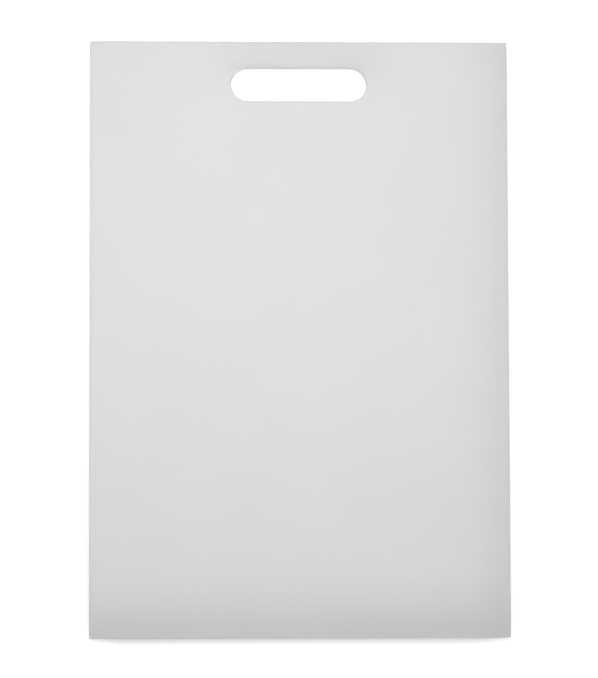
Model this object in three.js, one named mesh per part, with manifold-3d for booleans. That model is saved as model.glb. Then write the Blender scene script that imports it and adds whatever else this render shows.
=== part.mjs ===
// A plastic cutting board: one slab of polyethylene sheet with a hand slot routed through it.
// Millimetres, +Z up. The board lies flat. The origin is at the middle of its underside, +Y points to
// the end with the slot and +X to the right of someone who faces that way.
import * as THREE from "three";
import { mergeVertices } from "three/addons/utils/BufferGeometryUtils.js";
import Module from "manifold-3d";

// Slab
const BOARD_LENGTH = 340;
const BOARD_WIDTH = 238.5;
const BOARD_THICKNESS = 8;
// The corners of the outline are only eased, not rounded to a radius that shows.
const CORNER_RADIUS = 0.7;
// Quarter-round along both rims of the outline.
const EDGE_ROUND = 0.4;
// The corners of the flat face stay at least this round.
const LEAST_FACE_RADIUS = 0.05;

// Hand slot, measured from wall to wall
const SLOT_LENGTH = 77.5;
const SLOT_WIDTH = 19.5;
// Plastic left between the slot and the end of the board.
const SLOT_MARGIN = 14.7;
// The slot's rims are eased further than the outline, because fingers bear on them.
const SLOT_EDGE_ROUND = 0.8;

// Chords that draw each corner of the outline, each end of the slot and each quarter-round
const CORNER_CHORDS = 6;
const SLOT_END_CHORDS = 44;
const ROUND_CHORDS = 4;
// three.js draws an arc with two chords for each curve segment.
const CHORDS_PER_SEGMENT = 2;

const wasm = await Module();
wasm.setup();

// A closed three.js geometry as a solid that can be cut.
function solidFrom(geometry) {
  const bare = geometry.clone();
  bare.deleteAttribute("normal");
  bare.deleteAttribute("uv");
  const merged = mergeVertices(bare);
  return new wasm.Manifold(
    new wasm.Mesh({
      numProp: 3,
      vertProperties: merged.attributes.position.array,
      triVerts: new Uint32Array(merged.index.array),
    }),
  );
}

// A cut solid as a three.js geometry.
function geometryFrom(solid) {
  const mesh = solid.getMesh();
  const geometry = new THREE.BufferGeometry();
  geometry.setAttribute("position", new THREE.BufferAttribute(mesh.vertProperties, 3));
  geometry.setIndex(new THREE.BufferAttribute(mesh.triVerts, 1));
  const faceted = geometry.toNonIndexed();
  faceted.computeVertexNormals();
  return faceted;
}

// A rectangle with round corners, centred on the origin and drawn anticlockwise.
function roundedRectangle(width, height, radius) {
  const right = width / 2 - radius;
  const top = height / 2 - radius;
  const outline = new THREE.Shape();
  outline.absarc(right, -top, radius, -Math.PI / 2, 0);
  outline.absarc(right, top, radius, 0, Math.PI / 2);
  outline.absarc(-right, top, radius, Math.PI / 2, Math.PI);
  outline.absarc(-right, -top, radius, Math.PI, Math.PI * 1.5);
  outline.closePath();
  return outline;
}

// A slot with full round ends, lying along X and centred on the origin.
function roundEndedSlot(length, width) {
  const radius = width / 2;
  const reach = length / 2 - radius;
  const outline = new THREE.Shape();
  outline.absarc(reach, 0, radius, -Math.PI / 2, Math.PI / 2);
  outline.absarc(-reach, 0, radius, Math.PI / 2, Math.PI * 1.5);
  outline.closePath();
  return outline;
}

// The sheet cut to size. The flat face is the outline drawn in by the round, and the round swells back
// out to the full outline. A corner is never tighter than the round that runs along it.
function slabGeometry() {
  const round = EDGE_ROUND;
  const faceRadius = Math.max(CORNER_RADIUS - round, LEAST_FACE_RADIUS);
  const face = roundedRectangle(BOARD_WIDTH - 2 * round, BOARD_LENGTH - 2 * round, faceRadius);
  const slab = new THREE.ExtrudeGeometry(face, {
    depth: BOARD_THICKNESS - 2 * round,
    curveSegments: CORNER_CHORDS / CHORDS_PER_SEGMENT,
    bevelEnabled: true,
    bevelThickness: round,
    bevelSize: round,
    bevelSegments: ROUND_CHORDS,
  });
  return slab.translate(0, 0, round);
}

// What the router takes away: the slot, flared at both faces by the round of its rims.
function slotCutGeometry() {
  const round = SLOT_EDGE_ROUND;
  const cut = new THREE.ExtrudeGeometry(roundEndedSlot(SLOT_LENGTH, SLOT_WIDTH), {
    depth: BOARD_THICKNESS - 2 * round,
    curveSegments: SLOT_END_CHORDS / CHORDS_PER_SEGMENT,
    bevelEnabled: true,
    bevelThickness: round,
    bevelSize: -round,
    bevelOffset: round,
    bevelSegments: ROUND_CHORDS,
  });
  const slotCentre = BOARD_LENGTH / 2 - SLOT_MARGIN - SLOT_WIDTH / 2;
  return cut.translate(0, slotCentre, round);
}

const polyethylene = new THREE.MeshStandardMaterial({ color: 0xe2e4e3, roughness: 0.45, metalness: 0 });

const board = new THREE.Mesh(
  geometryFrom(solidFrom(slabGeometry()).subtract(solidFrom(slotCutGeometry()))),
  polyethylene,
);
board.name = "board";

const cuttingBoard = new THREE.Group();
cuttingBoard.add(board);

export default cuttingBoard;
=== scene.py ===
# %% [markdown]
# # A plastic cutting board
#
# The board is one slab of white polyethylene sheet with a hand slot routed through one end. This lesson
# builds it in Blender around a frame that already holds its real sizes, so nothing here is guessed twice:
# the slab's box is read from the frame, and the rest is written once, in metres, where it is first needed.

# %% Load the frame
import math

import bmesh
import bpy
from mathutils import Matrix, Vector


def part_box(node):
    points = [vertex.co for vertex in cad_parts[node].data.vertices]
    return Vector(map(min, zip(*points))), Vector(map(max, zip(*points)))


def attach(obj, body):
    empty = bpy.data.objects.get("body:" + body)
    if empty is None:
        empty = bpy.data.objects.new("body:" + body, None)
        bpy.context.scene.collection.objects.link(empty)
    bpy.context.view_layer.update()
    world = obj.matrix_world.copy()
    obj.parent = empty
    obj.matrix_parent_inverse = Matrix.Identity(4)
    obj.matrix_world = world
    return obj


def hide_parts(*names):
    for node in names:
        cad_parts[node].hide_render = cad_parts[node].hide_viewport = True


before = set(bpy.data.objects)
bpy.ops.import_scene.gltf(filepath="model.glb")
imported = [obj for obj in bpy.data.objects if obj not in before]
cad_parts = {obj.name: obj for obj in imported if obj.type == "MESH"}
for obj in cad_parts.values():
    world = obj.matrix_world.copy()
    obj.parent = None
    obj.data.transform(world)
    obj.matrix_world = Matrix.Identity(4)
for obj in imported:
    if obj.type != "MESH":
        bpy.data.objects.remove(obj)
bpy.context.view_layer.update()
board_low, board_high = (Vector(corner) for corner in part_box("board"))
BOARD_WIDTH, BOARD_LENGTH, BOARD_THICKNESS = board_high - board_low
print("board, mm:", [round(side * 1000, 2) for side in (BOARD_WIDTH, BOARD_LENGTH, BOARD_THICKNESS)])

# %% [markdown]
# ## Camera
#
# The photograph looks down on the board from almost straight above. A camera could be placed by eye, but a
# flat rectangle gives it away: where its four corners fall in the picture fixes the distance, the lean and
# the roll. The opposite edges are nearly parallel there, so the lens is long and the camera is far off.
# Blender's own look-at helper measures "up" against the Z axis, which has no meaning for a camera that
# looks along Z, so the three axes of the camera are worked out here from the board's long side instead.

# %% Place the camera
PHOTO_WIDTH = 598
PHOTO_HEIGHT = 678
SENSOR_SIDE = 36.0
FOCAL_PIXELS = 3500.0
CAMERA_PLACE = Vector((-0.0822, -0.1606, 1.9886))
CAMERA_AIM = Vector((-0.0004, -0.0006, 0.008))
CAMERA_ROLL = math.radians(-0.175)


def camera_axes(place, aim, roll):
    """The matrix of a camera whose picture has the aim in its middle and, before the roll, +Y upwards."""
    ahead = (aim - place).normalized()
    right = ahead.cross(Vector((0, 1, 0))).normalized()
    up = right.cross(ahead)
    turn = Matrix((right, up, -ahead)).transposed().to_4x4()
    return Matrix.Translation(place) @ turn @ Matrix.Rotation(roll, 4, "Z")


optics = bpy.data.cameras.new("camera")
# Blender lays the sensor's width along the longer side of the picture.
optics.sensor_width = SENSOR_SIDE
optics.lens = FOCAL_PIXELS / PHOTO_HEIGHT * SENSOR_SIDE
camera = bpy.data.objects.new("camera", optics)
bpy.context.collection.objects.link(camera)
camera.matrix_world = camera_axes(CAMERA_PLACE, CAMERA_AIM, CAMERA_ROLL)
bpy.context.scene.camera = camera
print("lens:", round(optics.lens, 1), "mm on a sensor of", SENSOR_SIDE, "mm")

# %% [markdown]
# A look at where the four corners land shows whether the camera is right, without a render.

# %% Check the camera
def pixel_of(point):
    """The pixel of the photograph's frame that a point falls on, counted from its upper left corner."""
    seen = camera.matrix_world.inverted() @ Vector(point)
    scale = FOCAL_PIXELS / -seen.z
    return PHOTO_WIDTH / 2 + seen.x * scale, PHOTO_HEIGHT / 2 - seen.y * scale


bpy.context.view_layer.update()
for x in (board_low.x, board_high.x):
    for y in (board_high.y, board_low.y):
        print("corner at pixel", [round(place, 2) for place in pixel_of((x, y, board_high.z))])

# %% [markdown]
# ## Node trees
#
# Both the shape and the finish below are node trees. One small helper keeps their code short: it adds a
# node, sets its options and fills its inputs. An input that is given a socket is linked to it, and any
# other value is set as it is. Sums and comparisons are so common in a tree that they get helpers too.

# %% Helpers for node trees
def add_node(tree, kind, inputs=None, **options):
    """Adds a node to a tree, with its options set and its inputs linked or filled in."""
    node = tree.nodes.new(kind)
    for name, value in options.items():
        setattr(node, name, value)
    for key, value in (inputs or {}).items():
        socket = node.inputs[key]
        if isinstance(value, bpy.types.NodeSocket):
            tree.links.new(value, socket)
        else:
            socket.default_value = value
    return node


def sum_node(tree, operation, first, second=0.0):
    """One step of arithmetic, as the socket that holds its result."""
    return add_node(tree, "ShaderNodeMath", {0: first, 1: second}, operation=operation).outputs[0]


def same_count(tree, first, second):
    """Whether two whole numbers are the same, as the socket that holds the answer."""
    # The node has inputs for every kind of value. The third and fourth take whole numbers.
    counts = {2: first, 3: second}
    return add_node(tree, "FunctionNodeCompare", counts, data_type="INT", operation="EQUAL").outputs[0]


# %% [markdown]
# ## The board's shape
#
# A cube with a bevel and a boolean cut would come close, but a boolean leaves untidy faces round the slot
# and a bevel can't tell the slot's softer rims from the outline's sharper ones. The shape follows a simple
# rule, so Geometry Nodes make it from named sizes: an outline and a slot are drawn as curves, one rim
# profile with a quarter-round at each face is swept along both, and the flat faces are filled in between
# the rims. Every vertex of a face is then a vertex of a rim, and the whole mesh closes without a seam.

# %% Sizes of the rims and the slot
CORNER_RADIUS = 0.0007
EDGE_ROUND = 0.0004
SLOT_LENGTH = 0.0775
SLOT_WIDTH = 0.0195
SLOT_MARGIN = 0.0147
SLOT_EDGE_ROUND = 0.0008
# A narrow flat strip beside each quarter-round keeps the round's shading off the wide faces.
FACE_STRIP = 0.0002
# Points round each corner, half of each slot end and each quarter-round, and rows of faces up each wall
CORNER_STEPS = 8
SLOT_END_STEPS = 28
ROUND_STEPS = 8
WALL_ROWS = 6
# Vertices closer than this become one.
WELD_DISTANCE = 1e-6


# %% Curves and rims
def round_rectangle(tree, width, height, radius, steps):
    """A rectangle with round corners, drawn as a curve."""
    square = add_node(tree, "GeometryNodeCurvePrimitiveQuadrilateral", {"Width": width, "Height": height})
    corner = {"Curve": square.outputs[0], "Radius": radius, "Count": steps, "Limit Radius": True}
    return add_node(tree, "GeometryNodeFilletCurve", corner, mode="POLY").outputs[0]


def rim_profile(tree, thickness, radius, side):
    """The section of a rim: a strip of each face, two quarter-rounds and the wall between them.

    The plastic lies inside the path where side is -1, and outside it where side is 1.
    """
    height = sum_node(tree, "MULTIPLY", thickness, 0.5)
    depth = sum_node(tree, "MULTIPLY", thickness, -0.5)
    reach = sum_node(tree, "MULTIPLY", sum_node(tree, "ADD", radius, FACE_STRIP), side)
    corners = {
        "Point 1": add_node(tree, "ShaderNodeCombineXYZ", {"X": reach, "Y": height}).outputs[0],
        "Point 2": add_node(tree, "ShaderNodeCombineXYZ", {"Y": height}).outputs[0],
        "Point 3": add_node(tree, "ShaderNodeCombineXYZ", {"Y": depth}).outputs[0],
        "Point 4": add_node(tree, "ShaderNodeCombineXYZ", {"X": reach, "Y": depth}).outputs[0],
    }
    bracket = add_node(tree, "GeometryNodeCurvePrimitiveQuadrilateral", corners, mode="POINTS")
    opened = add_node(tree, "GeometryNodeSetSplineCyclic", {0: bracket.outputs[0], "Cyclic": False})
    corner = {"Curve": opened.outputs[0], "Radius": radius, "Count": ROUND_STEPS, "Limit Radius": True}
    rounded = add_node(tree, "GeometryNodeFilletCurve", corner, mode="POLY")
    # The wall is the stretch that follows the last point of the first round, and only it is cut into rows.
    point = add_node(tree, "GeometryNodeInputIndex").outputs[0]
    on_wall = same_count(tree, point, ROUND_STEPS + 1)
    cuts = {"Curve": rounded.outputs[0], "Cuts": sum_node(tree, "MULTIPLY", on_wall, WALL_ROWS - 1)}
    return add_node(tree, "GeometryNodeSubdivideCurve", cuts).outputs[0]


def swept_rim(tree, path, profile):
    """The profile carried round a closed path, kept upright."""
    upright = add_node(tree, "GeometryNodeSetCurveNormal", {"Curve": path}, mode="Z_UP")
    sweep = {"Curve": upright.outputs[0], "Profile Curve": profile}
    return add_node(tree, "GeometryNodeCurveToMesh", sweep).outputs[0]


# %% [markdown]
# The tree also leaves a note for the finish. A saw and a router leave other marks on plastic than the
# rollers that flatten the sheet, so each vertex gets a number called "cut": none on the faces, one on the
# walls, and in between on the quarter-rounds. The upright share of the surface's normal tells them apart.

# %% The two rims and the note about which parts were cut
def rims_of_board(tree, size):
    """The rim of the outline and the rim of the slot, each in its place and with its cut parts noted."""
    outline = round_rectangle(tree, size["Width"], size["Length"], size["Corner radius"], CORNER_STEPS)
    outer_profile = rim_profile(tree, size["Thickness"], size["Edge round"], -1.0)
    outer_rim = swept_rim(tree, outline, outer_profile)
    outer_turned = add_node(tree, "GeometryNodeFlipFaces", {"Mesh": outer_rim})

    slot_end = sum_node(tree, "MULTIPLY", size["Slot width"], 0.5)
    slot = round_rectangle(tree, size["Slot length"], size["Slot width"], slot_end, SLOT_END_STEPS)
    slot_profile = rim_profile(tree, size["Thickness"], size["Slot round"], 1.0)
    board_end = sum_node(tree, "MULTIPLY", size["Length"], 0.5)
    slot_top = sum_node(tree, "SUBTRACT", board_end, size["Slot margin"])
    slot_middle = sum_node(tree, "SUBTRACT", slot_top, slot_end)
    slot_place = add_node(tree, "ShaderNodeCombineXYZ", {"Y": slot_middle}).outputs[0]
    moved = {"Geometry": swept_rim(tree, slot, slot_profile), "Translation": slot_place}
    slot_moved = add_node(tree, "GeometryNodeTransform", moved)

    both = add_node(tree, "GeometryNodeJoinGeometry")
    for rim in (outer_turned.outputs[0], slot_moved.outputs[0]):
        tree.links.new(rim, both.inputs[0])
    smooth = add_node(tree, "GeometryNodeSetShadeSmooth", {0: both.outputs[0], "Shade Smooth": True})

    normal = add_node(tree, "GeometryNodeInputNormal").outputs[0]
    upright = add_node(tree, "ShaderNodeSeparateXYZ", {0: normal}).outputs["Z"]
    cut = sum_node(tree, "SUBTRACT", 1.0, sum_node(tree, "ABSOLUTE", upright))
    note = {"Geometry": smooth.outputs[0], "Name": "cut", "Value": cut}
    noted = add_node(tree, "GeometryNodeStoreNamedAttribute", note, data_type="FLOAT", domain="POINT")
    return noted.outputs[0]


# %% [markdown]
# The rims leave the two wide faces open. An edge on such a border has only one face beside it, so the tree
# can find the upper borders, turn them into curves and fill what lies between them. The node that fills
# curves lays its face at height zero. One copy is lifted to the upper side, and another is sunk to the
# underside and turned over.

# %% The faces between the rims
def faces_of_board(tree, rims, lift):
    """The upper face, filled in between the open upper borders of the rims, and the same face below."""
    place = add_node(tree, "GeometryNodeInputPosition").outputs[0]
    level = add_node(tree, "ShaderNodeSeparateXYZ", {0: place}).outputs["Z"]
    above = add_node(tree, "FunctionNodeCompare", {0: level, 1: 0.0}, operation="GREATER_THAN").outputs[0]
    faces_beside = add_node(tree, "GeometryNodeInputMeshEdgeNeighbors").outputs[0]
    open_edge = same_count(tree, faces_beside, 1)
    on_border = add_node(tree, "FunctionNodeBooleanMath", {0: above, 1: open_edge}, operation="AND")
    chosen = {"Mesh": rims, "Selection": on_border.outputs[0]}
    borders = add_node(tree, "GeometryNodeMeshToCurve", chosen).outputs[0]
    face = add_node(tree, "GeometryNodeFillCurve", {"Curve": borders}, mode="NGONS").outputs[0]
    upper = add_node(tree, "GeometryNodeTransform", {"Geometry": face, "Translation": lift})
    sink = add_node(tree, "ShaderNodeVectorMath", {0: lift, "Scale": -1.0}, operation="SCALE").outputs[0]
    under = add_node(tree, "GeometryNodeTransform", {"Geometry": face, "Translation": sink})
    turned = add_node(tree, "GeometryNodeFlipFaces", {"Mesh": under.outputs[0]})
    return upper.outputs[0], turned.outputs[0]


# %% [markdown]
# The last part of the tree joins the rims and the faces, welds the vertices that they share and lifts the
# board by half its thickness, until its underside is at height zero. Each size is an input of the tree
# with a name of its own, so a board of another size takes other numbers and no other nodes.

# %% The whole tree
BOARD_SIZES = {
    "Width": BOARD_WIDTH,
    "Length": BOARD_LENGTH,
    "Thickness": BOARD_THICKNESS,
    "Corner radius": CORNER_RADIUS,
    "Edge round": EDGE_ROUND,
    "Slot length": SLOT_LENGTH,
    "Slot width": SLOT_WIDTH,
    "Slot margin": SLOT_MARGIN,
    "Slot round": SLOT_EDGE_ROUND,
}


def board_tree():
    """The board as a tree of Geometry Nodes, with its sizes and its finish as inputs."""
    tree = bpy.data.node_groups.new("board_shape", "GeometryNodeTree")
    for name in BOARD_SIZES:
        length = tree.interface.new_socket(name=name, in_out="INPUT", socket_type="NodeSocketFloat")
        length.subtype = "DISTANCE"
    tree.interface.new_socket(name="Finish", in_out="INPUT", socket_type="NodeSocketMaterial")
    tree.interface.new_socket(name="Board", in_out="OUTPUT", socket_type="NodeSocketGeometry")
    size = add_node(tree, "NodeGroupInput").outputs

    height = sum_node(tree, "MULTIPLY", size["Thickness"], 0.5)
    lift = add_node(tree, "ShaderNodeCombineXYZ", {"Z": height}).outputs[0]
    rims = rims_of_board(tree, size)
    pieces = add_node(tree, "GeometryNodeJoinGeometry")
    for piece in (rims, *faces_of_board(tree, rims, lift)):
        tree.links.new(piece, pieces.inputs[0])
    weld = {"Geometry": pieces.outputs[0], "Distance": WELD_DISTANCE}
    welded = add_node(tree, "GeometryNodeMergeByDistance", weld)
    lying = add_node(tree, "GeometryNodeTransform", {"Geometry": welded.outputs[0], "Translation": lift})
    real = add_node(tree, "GeometryNodeRealizeInstances", {"Geometry": lying.outputs[0]})
    finished = add_node(tree, "GeometryNodeSetMaterial", {0: real.outputs[0], "Material": size["Finish"]})
    add_node(tree, "NodeGroupOutput", {"Board": finished.outputs[0]})
    print("board_shape:", len(tree.nodes), "nodes")
    return tree


# %% [markdown]
# ## The finish
#
# White polyethylene is cloudy rather than painted: light goes some millimetres into it and comes out again
# beside where it went in, which is subsurface scattering. A flat colour would look like card, so three
# things vary over it. The tone drifts by about a hundredth from place to place. The faces carry the fine
# pebbled grain of the rollers, too small for the photograph but not for a close look. The walls carry
# streaks across the thickness, left by the teeth of the saw and of the router, which also burnish them a
# little. A bump node alone would hardly show them, because light from straight above casts no shade in
# shallow hollows and the scattering blurs what is left, so shade is also painted into their colour: the
# hollows are painted darker and the tops lighter.

# %% Sizes and tones of the finish
PLASTIC_WHITE = (0.785, 0.80, 0.79)
SCATTER_DEPTH = 0.006
CLOUD_SIZE = 0.05
CLOUD_CONTRAST = 0.02
GRAIN_SIZE = 0.0004
GRAIN_HEIGHT = 0.00002
STREAK_WIDTH = 0.0009
STREAK_HEIGHT = 0.00004
# Streaks are stretched along Z until they cross the whole wall.
STREAK_STRETCH = 0.03
# Painted shade: how much darker the hollows of the grain and the streaks are made in the colour, and how
# much lighter their tops
HOLLOW_PAINTED_SHADE = 0.07
FACE_ROUGHNESS = 0.46
CUT_ROUGHNESS = 0.4
ROUGHNESS_DRIFT = 0.05
REFRACTIVE_INDEX = 1.5


# %% Patterns
def noise(tree, place, size, detail=2.0):
    """Soft noise whose lumps measure about the given size, between 0 and 1."""
    pattern = {"Vector": place, "Scale": 1.0 / size, "Detail": detail}
    return add_node(tree, "ShaderNodeTexNoise", pattern).outputs[0]


def spread(tree, value, low, high, start=0.0, end=1.0):
    """A value between start and end, spread over the range from low to high."""
    ranges = {"Value": value, "From Min": start, "From Max": end, "To Min": low, "To Max": high}
    return add_node(tree, "ShaderNodeMapRange", ranges).outputs[0]


def grain_and_streaks(tree, place, cut):
    """Grain on the faces and streaks on the walls, between 0 in the hollows and 1 on the tops."""
    grain = noise(tree, place, GRAIN_SIZE)
    squeeze = {0: place, 1: (1.0, 1.0, STREAK_STRETCH)}
    upright = add_node(tree, "ShaderNodeVectorMath", squeeze, operation="MULTIPLY").outputs[0]
    streaks = noise(tree, upright, STREAK_WIDTH)
    return add_node(tree, "ShaderNodeMix", {"Factor": cut, "A": grain, "B": streaks}).outputs["Result"]


# %% [markdown]
# The burnish and the heights go where the real surface has them, into the roughness and the normal, and
# the painted shade of the hollows goes into the colour. What is the same all over, such as the depth that
# the light reaches, is set on the shader itself.

# %% White polyethylene
def white_polyethylene():
    """The plastic of the board, with its grain on the faces and its streaks on the walls."""
    material = bpy.data.materials.new("white_polyethylene")
    material.use_nodes = True
    tree = material.node_tree
    shader = tree.nodes["Principled BSDF"]
    place = add_node(tree, "ShaderNodeTexCoord").outputs["Object"]
    cut = add_node(tree, "ShaderNodeAttribute", attribute_name="cut").outputs["Fac"]
    cloud = noise(tree, place, CLOUD_SIZE)
    marks = grain_and_streaks(tree, place, cut)

    drift = spread(tree, cloud, 1.0 - CLOUD_CONTRAST, 1.0 + CLOUD_CONTRAST)
    # Painted shade: the hollows of the grain and the streaks are darkened in the colour, and their tops
    # lightened
    shade = spread(tree, marks, 1.0 - HOLLOW_PAINTED_SHADE, 1.0 + HOLLOW_PAINTED_SHADE)
    tone = {0: PLASTIC_WHITE, "Scale": sum_node(tree, "MULTIPLY", drift, shade)}
    white = add_node(tree, "ShaderNodeVectorMath", tone, operation="SCALE")
    tree.links.new(white.outputs[0], shader.inputs["Base Color"])

    burnish = spread(tree, cut, FACE_ROUGHNESS, CUT_ROUGHNESS)
    unevenness = spread(tree, cloud, -ROUGHNESS_DRIFT, ROUGHNESS_DRIFT)
    tree.links.new(sum_node(tree, "ADD", burnish, unevenness), shader.inputs["Roughness"])

    # The height is in metres, so a bump node at full strength turns it into a true slope.
    height = sum_node(tree, "MULTIPLY", marks, spread(tree, cut, GRAIN_HEIGHT, STREAK_HEIGHT))
    relief = {"Height": height, "Strength": 1.0, "Distance": 1.0}
    tree.links.new(add_node(tree, "ShaderNodeBump", relief).outputs[0], shader.inputs["Normal"])

    shader.inputs["IOR"].default_value = REFRACTIVE_INDEX
    shader.inputs["Subsurface Weight"].default_value = 1.0
    shader.inputs["Subsurface Radius"].default_value = (1.0, 1.0, 1.0)
    shader.inputs["Subsurface Scale"].default_value = SCATTER_DEPTH
    print("white_polyethylene:", len(tree.nodes), "nodes")
    return material


# %% [markdown]
# ## Make the board
#
# A modifier runs the tree on an empty mesh. Its result is then kept as a plain mesh and the modifier goes,
# so that the board can be measured, exported and lit like any other. A closed mesh has no open edges, and
# its volume is positive only if every face looks outwards, so both are worked out as a check.

# %% Run the tree
def plain_mesh_from(tree, name, values):
    """Runs a tree on an empty mesh and keeps the result as a plain mesh."""
    piece = bpy.data.objects.new(name, bpy.data.meshes.new(name + "_seed"))
    bpy.context.collection.objects.link(piece)
    modifier = piece.modifiers.new(name, "NODES")
    modifier.node_group = tree
    for socket in tree.interface.items_tree:
        if socket.in_out == "INPUT":
            modifier[socket.identifier] = values[socket.name]
    shown = piece.evaluated_get(bpy.context.evaluated_depsgraph_get())
    mesh = bpy.data.meshes.new_from_object(shown)
    # The empty mesh has no material, and the tree keeps that as an empty first place in the list.
    if mesh.materials[0] is None:
        mesh.materials.pop(index=0)
    mesh.name = name
    piece.modifiers.clear()
    piece.data = mesh
    return piece


def closed_volume(mesh):
    """How many edges are open, and the volume that the faces enclose (negative when inside out)."""
    look = bmesh.new()
    look.from_mesh(mesh)
    open_edges = sum(1 for edge in look.edges if not edge.is_manifold)
    volume = look.calc_volume(signed=True)
    look.free()
    return open_edges, volume


board = plain_mesh_from(board_tree(), "cutting_board", {**BOARD_SIZES, "Finish": white_polyethylene()})
open_edges, volume = closed_volume(board.data)
print("board:", len(board.data.polygons), "faces,", open_edges, "open edges")
print("board:", round(volume * 1e6, 1), "cm3")

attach(board, "root")
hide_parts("board")

# %% [markdown]
# ## Floor
#
# The photograph's background is plain white, with a short soft shadow below the lower edge and none beside
# the others. White paper under the lamps renders light grey, so the floor also glows a little. It does so
# only for rays that come from the camera or by way of a reflection, which leaves the light on the board
# alone. Close to the board the glow is weak enough for the shadow to show. From about the corners'
# distance on it grows to full white, so that the shadow ends there, as in the photograph, and no horizon
# shows from the side.

# %% White paper
WHITE = (1.0, 1.0, 1.0, 1.0)
PAPER = (0.8, 0.8, 0.8, 1.0)
GLOW_NEAR = 0.455
GLOW_FAR = 1.0
# Distances from the middle of the board
GLOW_STARTS = 0.2
GLOW_ENDS = 0.225


def seen_directly(tree):
    """One for rays from the camera, from a reflection or through a clear surface, and none for others."""
    path = add_node(tree, "ShaderNodeLightPath").outputs
    first = sum_node(tree, "MAXIMUM", path["Is Camera Ray"], path["Is Glossy Ray"])
    return sum_node(tree, "MAXIMUM", first, path["Is Transmission Ray"])


def glowing_paper():
    """White paper that looks fully white where it is lit and keeps the shadow at the board's edge."""
    material = bpy.data.materials.new("white_paper")
    material.use_nodes = True
    tree = material.node_tree
    tree.nodes.clear()
    place = add_node(tree, "ShaderNodeTexCoord").outputs["Object"]
    distance = add_node(tree, "ShaderNodeVectorMath", {0: place}, operation="LENGTH").outputs["Value"]
    rise = spread(tree, distance, GLOW_NEAR, GLOW_FAR, GLOW_STARTS, GLOW_ENDS)
    strength = sum_node(tree, "MULTIPLY", rise, seen_directly(tree))
    glow = add_node(tree, "ShaderNodeEmission", {"Color": WHITE, "Strength": strength})
    lit = add_node(tree, "ShaderNodeBsdfDiffuse", {"Color": PAPER})
    both = add_node(tree, "ShaderNodeAddShader", {0: lit.outputs[0], 1: glow.outputs[0]})
    add_node(tree, "ShaderNodeOutputMaterial", {"Surface": both.outputs[0]})
    return material


# %% The floor
FLOOR_SIDE = 20.0
# The floor lies just under the board, so that the two surfaces don't share a plane.
FLOOR_GAP = 0.0002


def flat_sheet(name, middle, width, length, material):
    """A rectangle that lies level, round a point."""
    mesh = bpy.data.meshes.new(name)
    corners = ((-0.5, -0.5), (0.5, -0.5), (0.5, 0.5), (-0.5, 0.5))
    places = [middle + Vector((x * width, y * length, 0)) for x, y in corners]
    mesh.from_pydata(places, [], [(0, 1, 2, 3)])
    mesh.materials.append(material)
    sheet = bpy.data.objects.new(name, mesh)
    bpy.context.collection.objects.link(sheet)
    print(name + ":", width, "x", length, "m")
    return sheet


floor = flat_sheet("floor", Vector((0, 0, -FLOOR_GAP)), FLOOR_SIDE, FLOOR_SIDE, glowing_paper())

# %% [markdown]
# ## Light
#
# The tones of the photograph tell where its lamps were, and each lamp below answers one of them. White
# all round the board is the first: the world is a light tent whose walls glow near the horizon, which
# lights the cut edges from the side and hardly touches the face.

# %% The tent
TENT_LEVEL = 0.5
# The sine of the angle above the horizon at which the tent's light has faded out
TENT_FADE = 0.5


def light_tent():
    """A world that is white to look at and that lights the board from low down on all sides."""
    world = bpy.data.worlds.new("tent")
    world.use_nodes = True
    tree = world.node_tree
    tree.nodes.clear()
    direction = add_node(tree, "ShaderNodeTexCoord").outputs["Generated"]
    height = add_node(tree, "ShaderNodeSeparateXYZ", {0: direction}).outputs["Z"]
    side_light = spread(tree, height, TENT_LEVEL, 0.0, 0.0, TENT_FADE)
    strength = sum_node(tree, "MAXIMUM", side_light, seen_directly(tree))
    walls = add_node(tree, "ShaderNodeBackground", {"Color": WHITE, "Strength": strength})
    add_node(tree, "ShaderNodeOutputWorld", {"Surface": walls.outputs[0]})
    return world


bpy.context.scene.world = light_tent()
tent_top = math.degrees(math.asin(TENT_FADE))
print("tent: level", TENT_LEVEL, "at the horizon, and none above", round(tent_top), "degrees")

# %% [markdown]
# The lamps are soft boxes: rectangles that shine from their whole surface. Their own shapes would show as
# bright panes in the satin face, which the photograph doesn't have, so they are hidden from reflections.
# A lamp's power says little about how bright a surface gets, so each is set by the level that a white
# surface under it should have, where 1 renders as full white.

# %% A soft box
DOWN = Vector((0, 0, -1))


def soft_box(name, place, aim, width, height, power):
    """A rectangular lamp that points at a place. It shows neither to the camera nor in a reflection."""
    lamp = bpy.data.lights.new(name, "AREA")
    lamp.shape = "RECTANGLE"
    lamp.size = width
    lamp.size_y = height
    lamp.energy = power
    box = bpy.data.objects.new(name, lamp)
    bpy.context.collection.objects.link(box)
    turn = (aim - place).normalized().to_track_quat("-Z", "Y").to_matrix().to_4x4()
    box.matrix_world = Matrix.Translation(place) @ turn
    box.visible_camera = False
    box.visible_glossy = False
    print(name + ":", round(width, 3), "x", round(height, 3), "m,", round(power, 3), "W")
    return box


def power_at(level, distance):
    """The power with which a bare lamp gives a white surface at that distance a brightness of level."""
    return level * math.pi ** 2 * distance ** 2


# %% [markdown]
# The face is brightest on the slot's side and falls off slowly towards the lower end, as it does under a
# soft box that hangs over the upper half of the board, two thirds of a metre up. This is the key light.

# %% The key box
KEY_PLACE = Vector((-0.030, 0.106, 0.665))
KEY_SIZE = 0.3
KEY_LEVEL = 0.745

key_power = power_at(KEY_LEVEL, KEY_PLACE.z - BOARD_THICKNESS)
key = soft_box("key_box", KEY_PLACE, KEY_PLACE + DOWN, KEY_SIZE, KEY_SIZE, key_power)

# %% [markdown]
# The face also falls off within the last few centimetres of the right and lower edges, too quickly for a
# bare lamp at that distance. A second box therefore has a grid in front of it, which Blender calls a
# narrow spread: its light falls straight down, and its border lies close to those two edges.

# %% The gridded box
GRID_LOW = Vector((-0.139, -0.160))
GRID_HIGH = Vector((0.120, 0.188))
GRID_UP = 0.6
# How far the border of its light is blurred on the board
GRID_SOFTNESS = 0.036
GRID_LEVEL = 0.23

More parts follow.
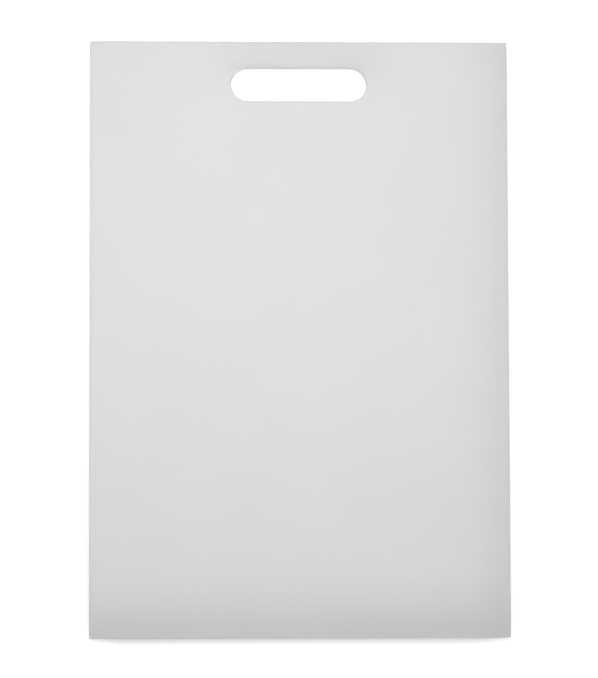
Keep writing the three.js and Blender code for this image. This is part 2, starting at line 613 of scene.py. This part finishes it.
grid_middle = (GRID_LOW + GRID_HIGH) / 2
grid_width, grid_height = GRID_HIGH - GRID_LOW
grid_place = Vector((grid_middle.x, grid_middle.y, BOARD_THICKNESS + GRID_UP))
# All of a narrow beam's power lands under the lamp, so its level depends on the lamp's area alone.
grid_power = GRID_LEVEL * math.pi * grid_width * grid_height
grid = soft_box("gridded_box", grid_place, grid_place + DOWN, grid_width, grid_height, grid_power)
grid.data.spread = 2 * math.atan(GRID_SOFTNESS / GRID_UP)

# %% [markdown]
# The far wall of the slot and the rims of the lower and right edges are almost as bright as the face,
# though they look away from both boxes. A low card in front of the board, a little to the right, throws
# that light.

# %% The card in front
CARD_PLACE = Vector((0.45, -1.3, 0.55))
CARD_WIDTH = 0.8
CARD_HEIGHT = 0.4
CARD_LEVEL = 0.10

card_power = power_at(CARD_LEVEL, CARD_PLACE.length)
card = soft_box("front_card", CARD_PLACE, Vector((0, 0, 0)), CARD_WIDTH, CARD_HEIGHT, card_power)

# %% [markdown]
# The strip between the slot and the end is a shade darker in the photograph than the face beside it. A
# photographer shades so small a place with a finger: a narrow strip of black card, hung between the lamps
# and the thing. This one hangs over the slot's upper wall and is as long as the slot. The boxes are far
# wider than the finger, so it takes away only about a tenth of the light and its shadow has no edge.
# Blender's ray visibility hides the finger itself and keeps its shadow.

# %% The finger
# How far the finger hangs above the face
FINGER_UP = 0.07
FINGER_WIDTH = 0.0025
BLACK = (0.01, 0.01, 0.01, 1.0)


def black_card():
    """Card that swallows the light that meets it."""
    material = bpy.data.materials.new("black_card")
    material.use_nodes = True
    material.node_tree.nodes["Principled BSDF"].inputs["Base Color"].default_value = BLACK
    return material


finger_place = Vector((0, board_high.y - SLOT_MARGIN, board_high.z + FINGER_UP))
finger = flat_sheet("finger", finger_place, SLOT_LENGTH, FINGER_WIDTH, black_card())
finger.visible_camera = False
finger.visible_diffuse = False
finger.visible_glossy = False
finger.visible_transmission = False

# %% [markdown]
# The floor has a broad box of its own above the slot. Just below the lower edge the board hides part of
# that box, which leaves the short soft shadow there, and it fades out at the corners, where light comes in
# from the side. The slot lies right under the box, so the floor inside it stays white.

# %% The floor's own box
FLOOR_BOX_PLACE = Vector((0, 0.146, 0.7))
FLOOR_BOX_WIDTH = 1.0
FLOOR_BOX_LENGTH = 0.63
FLOOR_BOX_LEVEL = 1.5

floor_power = power_at(FLOOR_BOX_LEVEL, FLOOR_BOX_PLACE.z)
floor_box = soft_box(
    "floor_box", FLOOR_BOX_PLACE, FLOOR_BOX_PLACE + DOWN, FLOOR_BOX_WIDTH, FLOOR_BOX_LENGTH, floor_power
)

# %% [markdown]
# A brighter floor would need more light than the board can take before it clips. Light linking parts the
# two: it tells a lamp which objects to light, and the shadows that the others throw stay.

# %% Which lamp lights what
def light_only(lamps, piece):
    """Keeps the light of some lamps to one object."""
    lit = bpy.data.collections.new(piece.name + "_only")
    lit.objects.link(piece)
    for lamp in lamps:
        lamp.light_linking.receiver_collection = lit
    print(piece.name, "is lit by", [lamp.name for lamp in lamps])


light_only((key, grid, card), board)
light_only((floor_box,), floor)

# %% [markdown]
# ## Last steps
#
# The Standard view shows colours as they are written. The boxes of the frame and of the finished board are
# kept side by side, so that a difference in size would show.

# %% Finish
bpy.context.scene.view_settings.view_transform = "Standard"
print("finished board, mm:", [round(side * 1000, 2) for side in board.dimensions])
